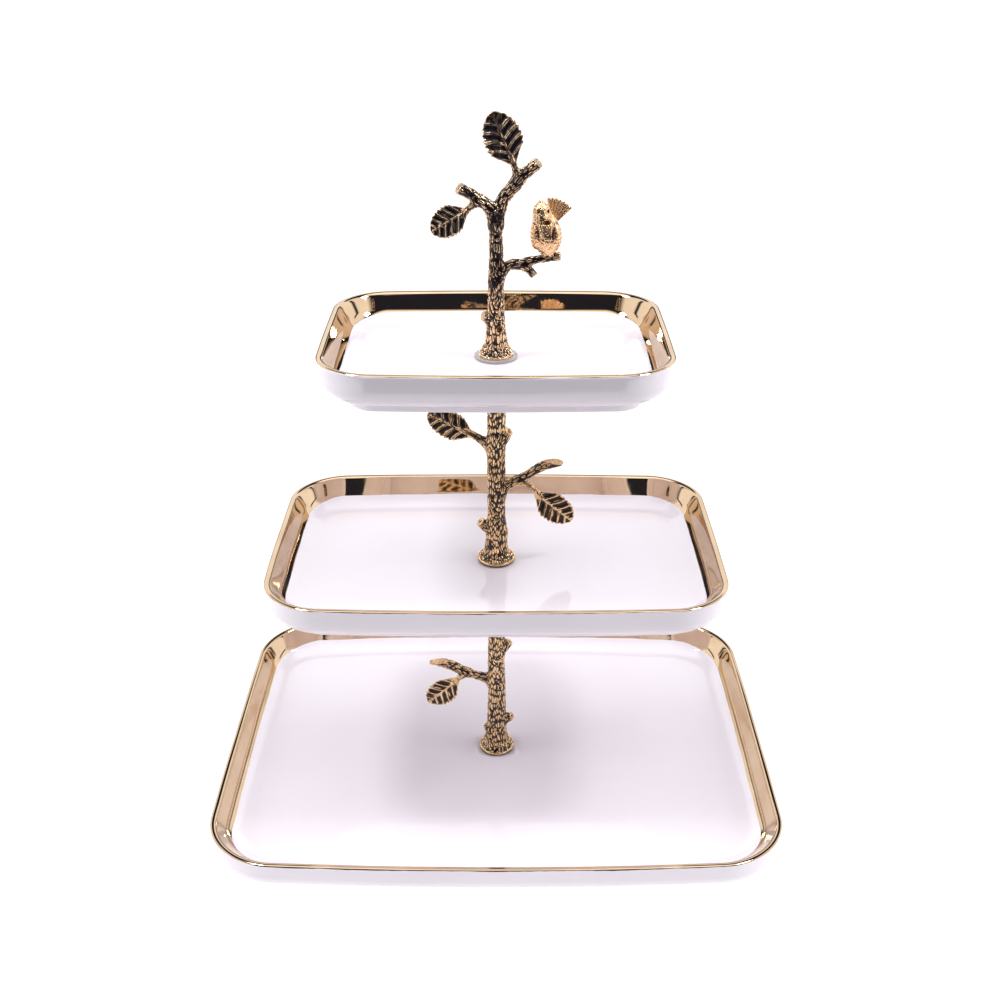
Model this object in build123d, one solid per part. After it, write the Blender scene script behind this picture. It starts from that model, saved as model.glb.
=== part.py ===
"""Three-tier serving stand: rounded-rectangle porcelain trays on cast posts shaped like a branch.

Millimetres, +Z up. The origin is on the table under the middle of the bottom tray, +X runs along
the trays' long side and -Y points at the person the stand faces.
"""
from build123d import *
import os

# ---- trays: one wall section, three plan sizes ---------------------------------------------------
TRAY_PLANS = {  # width along X, depth along Y, corner radius
    "bottom": (355.0, 265.0, 42.0),
    "middle": (274.0, 174.0, 34.5),
    "top": (197.0, 143.0, 31.5),
}
TRAY_FOOT_Z = {"bottom": 0.0, "middle": 149.5, "top": 285.1}
TRAY_HEIGHT = 28.0
FOOT_HEIGHT = 6.4
FLOOR_THICKNESS = 5.0
FLOOR_TOP = FOOT_HEIGHT + FLOOR_THICKNESS
RIM_WIDTH = 3.4
RIM_ROUNDING = 1.5
OUTER_WALL_LEAN = 4.0  # degrees from upright
INNER_WALL_LEAN = 33.0
OUTER_HEEL_RADIUS = 13.0
INNER_COVE_RADIUS = 10.0
FOOT_INSET = 17.0
FOOT_WIDTH = 4.5
FOOT_ROUNDING = 1.2
TRAY_HOLE_RADIUS = 4.0

# ---- M6 hardware ---------------------------------------------------------------------------------
STUD_RADIUS = 2.95
TAPPED_RADIUS = 3.02  # the bore that a stud turns in
TAPPED_DEPTH = 12.0
STUD_EMBED = 12.0  # length of stud held in the post below it
THREAD_ENGAGED = 8.0
WASHER_BORE = 3.2
POST_WASHER = (11.0, 1.2)  # radius, thickness
FINIAL_WASHER = (12.5, 1.5)
TRAY_GASKET = (8.0, 1.5)
STEEL_WASHER = (12.0, 1.2)
RUBBER_WASHER = (11.0, 1.0)
WASHER_ROUNDING = 0.3
SCREW_HEAD = (6.0, 3.0)
SCREW_HEAD_ROUNDING = 1.2
SCREW_SLOT = (1.4, 1.3)  # width, depth
THREAD_LEAD_IN = 0.5

# ---- levels that follow from the sizes above -----------------------------------------------------
FLOOR_Z = {tier: foot + FLOOR_TOP for tier, foot in TRAY_FOOT_Z.items()}
UNDERSIDE_Z = {tier: foot + FOOT_HEIGHT for tier, foot in TRAY_FOOT_Z.items()}
LOWER_POST = (FLOOR_Z["bottom"] + POST_WASHER[1], UNDERSIDE_Z["middle"] - TRAY_GASKET[1])
MIDDLE_POST = (FLOOR_Z["middle"] + POST_WASHER[1], UNDERSIDE_Z["top"] - TRAY_GASKET[1])
FINIAL_FOOT = FLOOR_Z["top"] + FINIAL_WASHER[1]
FINIAL_FORK = 380.0

# ---- bird on the finial's perch ------------------------------------------------------------------
BIRD_FOOT = Vector(28.8, 0, 355.0)
BIRD_HEAD = Vector(24.4, -1.5, 380.4)
BIRD_HEAD_RADIUS = 5.4
PEG_RADIUS = 0.9
PEG_DEPTH = 2.0

UPWARDS = (Align.CENTER, Align.CENTER, Align.MIN)
DOWNWARDS = (Align.CENTER, Align.CENTER, Align.MAX)


def inset(plan, distance):
    width, depth, radius = plan
    return width - 2 * distance, depth - 2 * distance, radius - distance


def bowl(plan, top, bottom, lean, heel):
    """A leaning-sided block under a rounded rectangle, its lower edge rounded off."""
    block = extrude(Plane.XY.offset(top) * RectangleRounded(*plan), bottom - top, taper=lean)
    return fillet(block.faces().sort_by(Axis.Z)[0].edges(), heel)


def tray(tier):
    """Low walls around a thin floor, a foot ring underneath and one hole in the middle."""
    plan = TRAY_PLANS[tier]
    outside = bowl(plan, TRAY_HEIGHT, FOOT_HEIGHT, OUTER_WALL_LEAN, OUTER_HEEL_RADIUS)
    inside = bowl(inset(plan, RIM_WIDTH), TRAY_HEIGHT, FLOOR_TOP, INNER_WALL_LEAN, INNER_COVE_RADIUS)
    shell = outside - inside
    shell = fillet(shell.faces().sort_by(Axis.Z)[-1].edges(), RIM_ROUNDING)
    ring = RectangleRounded(*inset(plan, FOOT_INSET)) - RectangleRounded(*inset(plan, FOOT_INSET + FOOT_WIDTH))
    foot = extrude(ring, FOOT_HEIGHT)
    foot = fillet(foot.faces().sort_by(Axis.Z)[0].edges(), FOOT_ROUNDING)
    hole = Pos(0, 0, FOOT_HEIGHT) * Cylinder(TRAY_HOLE_RADIUS, 3 * FLOOR_THICKNESS)
    return Pos(0, 0, TRAY_FOOT_Z[tier]) * (shell + foot - hole)


def washer(size, low):
    radius, thickness = size
    disc = Cylinder(radius, thickness, align=UPWARDS)
    disc = fillet(disc.edges().filter_by(GeomType.CIRCLE), WASHER_ROUNDING)
    return Pos(0, 0, low) * (disc - Cylinder(WASHER_BORE, 3 * thickness))


def stud(low, high):
    shaft = Cylinder(STUD_RADIUS, high - low, align=UPWARDS)
    shaft = chamfer(shaft.edges().filter_by(GeomType.CIRCLE), THREAD_LEAD_IN)
    return Pos(0, 0, low) * shaft


def base_screw():
    """Slotted pan-head screw fed up through the bottom tray into the lower post."""
    radius, height = SCREW_HEAD
    head_top = UNDERSIDE_Z["bottom"] - RUBBER_WASHER[1] - STEEL_WASHER[1]
    head = Cylinder(radius, height, align=DOWNWARDS)
    head = fillet(head.edges().filter_by(GeomType.CIRCLE).sort_by(Axis.Z)[0], SCREW_HEAD_ROUNDING)
    width, depth = SCREW_SLOT
    head -= Pos(0, 0, -height) * Box(3 * radius, width, 2 * depth)
    return Pos(0, 0, head_top) * head + stud(head_top - 1, LOWER_POST[0] + THREAD_ENGAGED)


def trunk(low, high, radii):
    """Turned trunk: radii lists (height above its foot, radius) along one smooth line."""
    side = [(radius, low + height) for height, radius in radii]
    rim = Line((0, low), side[0]) + Line(side[0], side[1])
    flank = Spline(side[1:])
    cap = Line(side[-1], (0, high)) + Line((0, high), (0, low))
    return revolve(Plane.XZ * make_face(rim + flank + cap), Axis.Z)


def limb(*stations):
    """A tapering twig through stations (x, z, radius), its ends cut square."""
    centres = [Vector(x, 0, z) for x, z, _ in stations]
    sections = []
    for i, (_, _, radius) in enumerate(stations):
        before = centres[max(i - 1, 0)]
        after = centres[min(i + 1, len(centres) - 1)]
        square = Plane(origin=centres[i], x_dir=(0, 1, 0), z_dir=after - before)
        sections.append(square * Circle(radius))
    return loft(sections)


def leaf(base, tip, width, lean, thickness=2.4):
    """A pointed oval plate from base to tip, both (x, z), tilted by lean about its own length."""
    start = Vector(base[0], 0, base[1])
    along = Vector(tip[0], 0, tip[1]) - start
    length = along.length
    widest = 0.45 * length
    near_edge = ThreePointArc((0, 0), (widest, width / 2), (length, 0))
    far_edge = ThreePointArc((length, 0), (widest, -width / 2), (0, 0))
    plate = extrude(make_face(near_edge + far_edge), thickness / 2, both=True)
    return Plane(origin=start, x_dir=along, z_dir=(0, -1, 0)).location * (Rot(lean, 0, 0) * plate)


def tapped_hole(foot):
    return Pos(0, 0, foot) * Cylinder(TAPPED_RADIUS, 2 * TAPPED_DEPTH)


def stud_hole(top):
    return Pos(0, 0, top) * Cylinder(STUD_RADIUS, 2 * STUD_EMBED)


def lower_post():
    """Post with a cut branch and a hanging leaf on the left, and three knots."""
    low, high = LOWER_POST
    radii = [(0, 11.6), (1.6, 11.6), (9, 7.6), (20, 6.7), (42, 5.8), (85, 5.7), (125, 6.0), (high - low, 6.8)]
    casting = trunk(low, high, radii)
    casting += limb((0, 65, 5.0), (-7, 69, 3.6), (-14.8, 71.8, 2.8), (-22.9, 75.7, 3.3), (-29.6, 79.6, 3.4),
                    (-36.3, 81.5, 3.0), (-42.8, 82.4, 2.0))
    casting += limb((-19.5, 74, 2.6), (-25.5, 69, 2.1), (-31.5, 62.8, 1.5))
    casting += leaf((-27.8, 66.6), (-48.9, 45.2), 17.0, lean=14)
    casting += limb((0, 31, 4.2), (5.5, 35, 3.6), (11.6, 38.4, 2.8))
    casting += limb((0, 31, 4.2), (-4.6, 28.6, 3.4), (-8.8, 26.4, 2.6))
    casting += limb((0, 88, 4.2), (8.6, 98, 2.8))
    return casting - tapped_hole(low) - stud_hole(high)


def middle_post():
    """Post with a forked twig and hanging leaf on the right, and a leaf rising on the left."""
    low, high = MIDDLE_POST
    radii = [(0, 11.6), (1.6, 11.6), (7, 7.4), (20, 6.4), (36, 5.3), (54, 5.6), (80, 5.4), (high - low, 6.4)]
    casting = trunk(low, high, radii)
    casting += limb((0, 204, 4.6), (5.5, 211.5, 3.4), (12, 216.6, 2.5), (19, 220.6, 2.4), (28, 226.4, 2.8),
                    (38.8, 228.6, 2.1))
    casting += limb((12, 216.6, 2.3), (20, 214, 1.9), (27.5, 205.2, 1.4))
    casting += leaf((24.1, 209.4), (47.4, 187.0), 18.0, lean=-12)
    casting += limb((0, 235, 4.6), (-6.5, 242, 3.1), (-14, 247.4, 2.3), (-21, 250.4, 1.4))
    casting += leaf((-14.2, 247.2), (-41, 260.4), 17.0, lean=12)
    casting += limb((0, 178, 4.4), (-5.5, 184, 3.6), (-10.6, 189.4, 2.8))
    casting += limb((0, 238, 4.2), (4.6, 245, 3.5), (8.4, 250.6, 2.9))
    return casting - tapped_hole(low) - stud_hole(high)


def finial_branch():
    """Top branch: a forked trunk with two leaves, two cut twigs and a perch on the right."""
    low = FINIAL_FOOT
    radii = [(0, 9.9), (1.4, 9.9), (8, 6.4), (18, 5.4), (36, 4.5), (60, 4.0), (FINIAL_FORK - low, 3.8)]
    casting = trunk(low, FINIAL_FORK, radii)
    casting += limb((0, 373, 4.0), (-3.6, 382.4, 3.6), (-11, 388.4, 3.1), (-20.8, 393.8, 2.6))
    casting += limb((-8, 386, 2.5), (-13.6, 382.8, 2.0), (-19.5, 376.6, 1.3))
    casting += leaf((-16.8, 379.4), (-35.4, 368.4), 13.6, lean=-14)
    casting += limb((0, 373, 4.0), (3.6, 386.4, 3.7), (9.6, 394.4, 3.6), (15.4, 400.8, 3.1), (22.3, 406.4, 2.6))
    casting += limb((9.2, 394.5, 3.0), (10.2, 401, 2.2), (5.4, 410.8, 1.4))
    casting += leaf((6.8, 406.6), (-3.7, 432.7), 18.6, lean=10)
    casting += limb((0, 341, 4.2), (6, 349.6, 3.0), (15.8, 351.7, 2.5), (24.9, 353.4, 2.4), (36, 354.3, 2.1))
    casting += limb((10, 351, 2.4), (17, 349, 2.1), (21.9, 344.3, 1.9))
    casting += limb((0, 318, 4.0), (-4.2, 320, 3.4), (-8.0, 321.6, 2.8))
    return casting - tapped_hole(low)


def bird():
    """Plump songbird facing front, with a crest, a short beak and a fan tail cocked behind it."""
    height = BIRD_HEAD.Z - BIRD_FOOT.Z
    stations = [(0, 4.2), (0.16, 6.2), (0.5, 8.4), (0.8, 6.6), (1, 4.6)]  # fraction of height, radius
    sections = []
    for fraction, radius in stations:
        centre = BIRD_FOOT + (BIRD_HEAD - BIRD_FOOT) * fraction ** 1.6
        level = Plane(origin=(centre.X, centre.Y, BIRD_FOOT.Z + fraction * height))
        sections.append(level * Circle(radius))
    body = loft(sections)
    head = Pos(*BIRD_HEAD) * Sphere(BIRD_HEAD_RADIUS)
    crest = Pos(*(BIRD_HEAD + Vector(0.6, 1.0, 4.4))) * Cone(2.6, 0.6, 5.6)
    beak_base = BIRD_HEAD + Vector(-1.0, -5.2, -1.0)
    beak = Plane(origin=beak_base, z_dir=(-0.2, -1, -0.25)).location * Cone(1.8, 0.3, 3.6)
    fan = Polyline((0, -3.4), (0, 3.4), (13.0, 6.6), (16.4, 2.6), (16.4, -2.6), (13.0, -6.6), (0, -3.4))
    fan = extrude(make_face(fan), 1.4, both=True)
    fan_plane = Plane(origin=(30.4, 3.2, 370.6), x_dir=(0.36, 0.30, 0.88), z_dir=(0.28, -0.94, 0.2))
    return body + head + crest + beak + fan_plane.location * fan


def write(name, shape):
    export_step(shape, f"parts/{name}.step")
    print(f"{name}: {len(shape.solids())} solid, {shape.volume / 1000:.2f} cm3, valid {shape.is_valid}")


os.makedirs("parts", exist_ok=True)

for tier_name in TRAY_PLANS:
    write(f"tray_{tier_name}", tray(tier_name))

branch = finial_branch()
peg = Pos(BIRD_FOOT.X, 0, BIRD_FOOT.Z + 3) * Cylinder(PEG_RADIUS, PEG_DEPTH + 3, align=DOWNWARDS)
write("lower_post", lower_post())
write("middle_post", middle_post())
write("finial_branch", branch - peg)
write("bird", (bird() - branch) + peg)

write("base_screw", base_screw())
write("lower_stud", stud(LOWER_POST[1] - STUD_EMBED, MIDDLE_POST[0] + THREAD_ENGAGED))
write("middle_stud", stud(MIDDLE_POST[1] - STUD_EMBED, FINIAL_FOOT + THREAD_ENGAGED))

rubber_level = UNDERSIDE_Z["bottom"] - RUBBER_WASHER[1]
write("base_rubber_washer", washer(RUBBER_WASHER, rubber_level))
write("base_steel_washer", washer(STEEL_WASHER, rubber_level - STEEL_WASHER[1]))
write("lower_post_washer", washer(POST_WASHER, FLOOR_Z["bottom"]))
write("middle_post_washer", washer(POST_WASHER, FLOOR_Z["middle"]))
write("finial_washer", washer(FINIAL_WASHER, FLOOR_Z["top"]))
write("middle_tray_gasket", washer(TRAY_GASKET, LOWER_POST[1]))
write("top_tray_gasket", washer(TRAY_GASKET, MIDDLE_POST[1]))
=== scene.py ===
"""Looks of the three-tier serving stand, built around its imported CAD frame.

Meshes are worked out in millimetres, in the CAD frame, and scaled to metres as they become objects.
"""
import math
import bpy
import numpy as np
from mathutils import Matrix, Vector


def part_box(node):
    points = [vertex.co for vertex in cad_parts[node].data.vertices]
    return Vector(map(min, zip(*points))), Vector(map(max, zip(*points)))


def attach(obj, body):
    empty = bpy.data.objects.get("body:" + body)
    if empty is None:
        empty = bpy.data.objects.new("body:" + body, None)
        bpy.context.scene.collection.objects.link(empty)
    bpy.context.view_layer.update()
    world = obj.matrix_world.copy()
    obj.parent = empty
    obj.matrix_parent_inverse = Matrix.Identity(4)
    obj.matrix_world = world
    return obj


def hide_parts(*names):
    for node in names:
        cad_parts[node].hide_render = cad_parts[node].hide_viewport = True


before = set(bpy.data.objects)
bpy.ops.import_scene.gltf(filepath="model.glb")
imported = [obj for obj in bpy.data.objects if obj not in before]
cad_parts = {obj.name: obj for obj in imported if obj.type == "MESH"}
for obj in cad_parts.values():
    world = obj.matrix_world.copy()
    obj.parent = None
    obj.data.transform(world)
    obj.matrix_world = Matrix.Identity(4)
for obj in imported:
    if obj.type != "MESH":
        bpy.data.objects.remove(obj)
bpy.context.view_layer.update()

MM = 0.001


def box_mm(node):
    low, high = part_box(node)
    return np.array(low) / MM, np.array(high) / MM


# ---- repeatable noise ----
HASH_X, HASH_Y, HASH_Z, HASH_SEED = 73856093, 19349663, 83492791, 40503
HASH_FIRST, HASH_SECOND = 1274126177, 668265263
JITTER = 0.76  # how far the centres of scattered cells stray, as a share of the grain


def lattice_random(cell, seed):
    """A number from 0 to 1 for each whole-number lattice point (rows of x, y, z)."""
    h = cell[:, 0] * HASH_X ^ cell[:, 1] * HASH_Y ^ cell[:, 2] * HASH_Z ^ seed * HASH_SEED
    h = (h ^ (h >> 13)) * HASH_FIRST & 0xFFFFFFFF
    h = (h ^ (h >> 16)) * HASH_SECOND & 0xFFFFFFFF
    return ((h ^ (h >> 15)) & 0xFFFFFF) / 0xFFFFFF


def noise(points, seed=0):
    """Smooth value noise from -1 to 1 with a grain of one unit."""
    base = np.floor(points).astype(np.int64)
    part = points - base
    part = part * part * (3 - 2 * part)
    total = np.zeros(len(points))
    for corner in np.ndindex(2, 2, 2):
        weight = np.prod(np.where(corner, part, 1 - part), axis=1)
        total += weight * lattice_random(base + np.array(corner), seed)
    return 2 * total - 1


def cell_borders(points, seed=0):
    """Distance to the nearest border between scattered cells with a grain of one unit."""
    base = np.floor(points).astype(np.int64)
    first = np.full(len(points), 9.0)
    second = first.copy()
    for offset in np.ndindex(3, 3, 3):
        cell = base + np.array(offset) - 1
        jitter = [lattice_random(cell, seed + k) for k in (11, 23, 37)]
        gap = cell + (1 - JITTER) / 2 + JITTER * np.stack(jitter, axis=1) - points
        away = np.sqrt((gap * gap).sum(axis=1))
        second = np.minimum(second, np.maximum(first, away))
        first = np.minimum(first, away)
    return second - first


def smooth_step(low, high, value):
    t = np.clip((value - low) / (high - low), 0, 1)
    return t * t * (3 - 2 * t)


# ---- meshes ----
def add_object(name, data):
    made = bpy.data.objects.new(name, data)
    bpy.context.scene.collection.objects.link(made)
    return made


def make_piece(name, points, faces, material, body, slot, replaces, **attributes):
    """A smooth-shaded object from points in mm, riding on a body and standing for a CAD node."""
    mesh = bpy.data.meshes.new(name)
    mesh.from_pydata((np.asarray(points) * MM).tolist(), [], faces.tolist())
    mesh.polygons.foreach_set("use_smooth", [True] * len(mesh.polygons))
    for label, values in attributes.items():
        layer = mesh.attributes.new(label, "FLOAT", "POINT")
        layer.data.foreach_set("value", np.asarray(values, dtype=np.float32))
    mesh.materials.append(material)
    mesh.validate()
    mesh.update()
    piece = add_object(name, mesh)
    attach(piece, body)
    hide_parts(replaces)


def ring_faces(rings, around):
    """Quads between successive closed rings of points, rings stored one after another."""
    ring = np.arange(rings - 1)[:, None] * around
    here = np.arange(around)[None, :]
    after = (here + 1) % around
    corners = (ring + here, ring + after, ring + around + after, ring + around + here)
    return np.stack([c.reshape(-1) for c in corners], axis=1)


def rounded_path(corners, arc_step=0.35, line_step=2.5):
    """Points along straight runs through corners (x, y, radius), each an arc of its radius."""
    points = [np.array(corners[0][:2], float)]
    for before, corner, after in zip(corners, corners[1:], corners[2:]):
        at = np.array(corner[:2], float)
        back = np.array(before[:2]) - at
        ahead = np.array(after[:2]) - at
        back /= np.linalg.norm(back)
        ahead /= np.linalg.norm(ahead)
        half_turn = (math.pi - math.acos(np.clip(back @ ahead, -1, 1))) / 2
        reach = corner[2] * math.tan(half_turn)
        inward = (back + ahead) / np.linalg.norm(back + ahead)
        middle = at + inward * corner[2] / math.cos(half_turn)
        start, end = at + back * reach - middle, at + ahead * reach - middle
        steps = max(3, int(2 * half_turn * corner[2] / arc_step))
        for t in np.linspace(0, 1, steps + 1):
            spoke = start * math.sin((1 - t) * 2 * half_turn) + end * math.sin(t * 2 * half_turn)
            points.append(middle + spoke / math.sin(2 * half_turn))
    points.append(np.array(corners[-1][:2], float))
    dense = [points[0]]
    for a, b in zip(points, points[1:]):
        steps = max(1, math.ceil(np.linalg.norm(b - a) / line_step))
        dense += [a + (b - a) * (i + 1) / steps for i in range(steps)]
    return np.array(dense)


LATHE_SIDES = 64


def lathe(name, corners, material, body, slot, replaces):
    """A closed ring turned about the Z axis, its section given as corners (radius, z, rounding)."""
    section = rounded_path(corners + corners[:2], arc_step=0.12, line_step=1.5)[1:]
    turn = np.linspace(0, 2 * math.pi, LATHE_SIDES, endpoint=False)
    points = [(r * math.cos(a), r * math.sin(a), z) for r, z in section for a in turn]
    faces = ring_faces(len(section), LATHE_SIDES)
    make_piece(name, points, faces, material, body, slot, replaces)


# ---- shapes as distance fields ----
def blend_union(a, b, reach):
    """The lesser of two distances, with a fillet about as wide as reach where they meet."""
    h = np.clip(reach - np.abs(a - b), 0, None) / reach
    return np.minimum(a, b) - h * h * reach / 4


def blend_cut(a, b, reach):
    return -blend_union(-a, -b, reach)


def length(v):
    return np.sqrt((v * v).sum(axis=-1))


def unit(*v):
    v = np.array(v, float)
    return v / np.linalg.norm(v)


def smooth_curve(stations, steps=5):
    """A Catmull-Rom curve through stations, every column interpolated alike."""
    k = np.array(stations, float)
    k = np.vstack([2 * k[0] - k[1], k, 2 * k[-1] - k[-2]])
    out = [k[1]]
    for a, b, c, d in zip(k, k[1:], k[2:], k[3:]):
        for t in np.arange(1, steps + 1) / steps:
            bend = (2 * a - 5 * b + 4 * c - d) * t * t + (3 * b - a - 3 * c + d) * t ** 3
            out.append(b + (c - a) * t / 2 + bend / 2)
    return np.array(out)


class Limb:
    """A twig along stations (x, y, z, radius). cut is the plane (point, outward direction) ending
    it, and dish the radius of a hollow in the cut face."""

    cut_edge = 0.5  # rounding of a cut end
    dish_centre = 0.55  # how far outside the cut face a dish's centre is, as a share of its radius

    def __init__(self, *stations, cut=None, fillet=2.4, bark=1.0, dish=0.0):
        self.line = smooth_curve(stations)
        self.cut = cut and (np.array(cut[0]), unit(*cut[1]))
        self.fillet = fillet
        self.bark = bark
        self.dish = dish
        reach = self.line[:, 3].max() + 4
        self.low = self.line[:, :3].min(axis=0) - reach
        self.high = self.line[:, :3].max(axis=0) + reach

    def near(self, p):
        return ((p > self.low) & (p < self.high)).all(axis=1)

    def measure(self, p):
        """Distance, length along the twig and offset across it, for each point."""
        best = np.full(len(p), 1e3)
        along = np.zeros(len(p))
        across = np.zeros((len(p), 2))
        run = 0.0
        for a, b in zip(self.line, self.line[1:]):
            span = b[:3] - a[:3]
            size = np.linalg.norm(span)
            way = span / size
            t = np.clip((p - a[:3]) @ way / size, 0, 1)
            off = p - a[:3] - t[:, None] * span
            d = length(off) - (a[3] + t * (b[3] - a[3]))
            closer = d < best
            best = np.where(closer, d, best)
            along = np.where(closer, run + t * size, along)
            side = np.cross(way, (0, 1, 0))
            across[closer] = np.stack([off[closer, 1], off[closer] @ side], axis=1)
            run += size
        if self.cut:
            point, normal = self.cut
            face = (p - point) @ normal
            if self.dish:
                away = length(p - point - normal * self.dish * self.dish_centre)
                face = np.maximum(face, self.dish - away)
            best = blend_cut(best, face, self.cut_edge)
        return best, along, across

    def field(self, p):
        return self.measure(p)[0]

    def relief(self, p):
        """Bark height from 0 in a furrow to 1 on a ridge; a cut face is worn and mottled."""
        _, along, across = self.measure(p)
        height = bark(np.column_stack([across, along]), self.bark)
        if self.cut:
            point, normal = self.cut
            mottle = 0.66 + 0.34 * noise(p / 0.9, 71)
            height = np.maximum(height, mottle * smooth_step(-0.7, -0.15, (p - point) @ normal))
        return height


BARK_CELL = np.array([1.5, 1.5, 5.2])  # size of one ridge, across twice and along
BARK_WARP = np.array([0.4, 0.4, 0.9])  # how far ridges are pushed out of place
BARK_WARP_GRAIN = 3.1
BARK_SLANT = 1.2  # how far ridges lean to one side or the other
BARK_SLANT_GRAIN = np.array([9.0, 9.0, 7.0])
BARK_PATCH_GRAIN = np.array([4.0, 4.0, 6.5])  # patches of wider and narrower gaps


def bark(local, depth=1.0, seed=5):
    """Bark height for points (across, across, along): lens-shaped ridges with gaps between."""
    warp = np.stack([noise(local / BARK_WARP_GRAIN, seed + k) for k in (1, 2, 3)], axis=1)
    slant = noise(local / BARK_SLANT_GRAIN, seed + 4)
    moved = local + warp * BARK_WARP
    moved[:, 0] += slant * BARK_SLANT
    moved[:, 1] -= slant * BARK_SLANT
    gap = cell_borders(moved / BARK_CELL, seed)
    patch = noise(local / BARK_PATCH_GRAIN, seed + 9)
    ridge = smooth_step(0.09 + 0.07 * patch, 0.34 + 0.08 * patch, gap)
    return 1 - (1 - ridge) * depth


class Trunk:
    """An upright trunk round the Z axis: radii lists (height above its foot, radius), and brim is
    the height of the smooth rim round its foot."""

    lump_height = 0.35
    lump_grain = np.array([5.0, 5.0, 9.0])
    bark_origin = np.array([17.0, 3.0, 0.0])

    def __init__(self, low, high, radii, brim=1.6, seed=0):
        self.low, self.high, self.brim, self.seed = low, high, brim, seed
        curve = smooth_curve([(z, r) for z, r in radii], steps=8)
        self.heights, self.radii = low + curve[:, 0], curve[:, 1]

    def field(self, p):
        radius = np.interp(p[:, 2], self.heights, self.radii)
        lumps = self.lump_height * noise(p / self.lump_grain, self.seed + 50)
        ends = smooth_step(1, 8, p[:, 2] - self.low) * smooth_step(1, 8, self.high - p[:, 2])
        return np.hypot(p[:, 0], p[:, 1]) - radius - lumps * ends

    def relief(self, p):
        above = p[:, 2] - self.low
        height = bark(p + self.bark_origin, seed=self.seed)
        return np.maximum(height, 1 - smooth_step(self.brim - 0.3, self.brim + 0.5, above))


class Leaf:
    """A toothed oval leaf from base to tip, its face towards facing, veins raised on both sides."""

    fillet = 1.2  # rounding where the leaf joins its stem
    cup, bend = 0.022, -0.004  # curvature across and along the blade
    veins, vein_slope, vein_curve = 5, 0.80, 0.028
    fold_height = 0.55
    widest = 0.42  # where the blade is widest, as a share of its length
    teeth, tooth_depth = 10, 0.12

    def __init__(self, base, tip, width, facing):
        self.base = np.array(base, float)
        self.size = np.linalg.norm(np.array(tip) - base)
        self.width = width
        forward = (np.array(tip) - base) / self.size
        across = np.cross(facing, forward)
        across /= np.linalg.norm(across)
        self.axes = np.stack([forward, across, np.cross(forward, across)])

    def local(self, p):
        return (p - self.base) @ self.axes.T

    def near(self, p):
        return length(p - self.base) < self.size + 5

    def half_width(self, u):
        t = np.clip(u / self.size, 0, 1)
        taper = 0.26 + 0.74 * np.sin(np.clip(t / self.widest, 0, 1) * math.pi / 2) ** 1.2
        beyond = np.clip((t - self.widest) / (1 - self.widest), 0, 1)
        nose = np.clip(1 - beyond ** 2.6, 0, 1) ** 0.66
        tooth = (t * self.teeth) % 1 * smooth_step(0.12, 0.3, t)
        return self.width / 2 * taper * nose * (0.93 + self.tooth_depth * tooth)

    def pleats(self, u, v):
        """Folds from the midrib towards the tip: height from 0 to 1, and count from the base."""
        side = np.abs(v)
        spacing = self.size / (self.veins + 0.6)
        stagger = np.where(v > 0, 0.4 * spacing, 0)
        back = u - self.vein_slope * side + self.vein_curve * side ** 2 + stagger
        place = back / spacing
        return 1 - np.abs(2 * (place % 1) - 1), place

    def field(self, p):
        u, v, w = self.local(p).T
        side = np.abs(v)
        fold, _ = self.pleats(u, v)
        lift = self.fold_height * smooth_step(0.4, 2.5, side) * smooth_step(0.5, 4, u)
        middle = self.cup * side ** 2 + self.bend * u ** 2 + lift * (smooth_step(0, 1, fold) - 0.5)
        thick = 0.95 - 0.4 * np.clip(2 * side / self.width, 0, 1)
        edge = np.maximum.reduce([(side - self.half_width(u)) * 0.8, -u, u - self.size])
        return blend_cut(np.abs(w - middle) * 0.9 - thick, edge, 0.7)

    def relief(self, p):
        """Height from 0 between the veins to 1 on the midrib, the veins and the rim."""
        u, v, _ = self.local(p).T
        side = np.abs(v)
        t = np.clip(u / self.size, 0, 1)
        midrib = np.exp(-(side / (0.95 - 0.5 * t)) ** 2)
        fold, place = self.pleats(u, v)
        thin = noise(p / 3.4, 63)
        vein = smooth_step(0.42 + 0.22 * thin, 0.92, fold) * (1 - 0.25 * side / self.width)
        streak = noise(np.column_stack([place * 8, side * 0.25, v * 0]), 61) + 0.25 * thin
        hair = 0.8 * smooth_step(0.0, 0.7, streak)
        rim = smooth_step(-1.5, -0.5, side - self.half_width(u)) + smooth_step(4.2, 1.6, u)
        rubbed = 0.84 + 0.26 * noise(p / 1.9, 62)
        raised = np.maximum.reduce([midrib, vein, 0.95 * np.minimum(rim, 1), hair])
        return np.clip(raised * rubbed, 0, 1)


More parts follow.
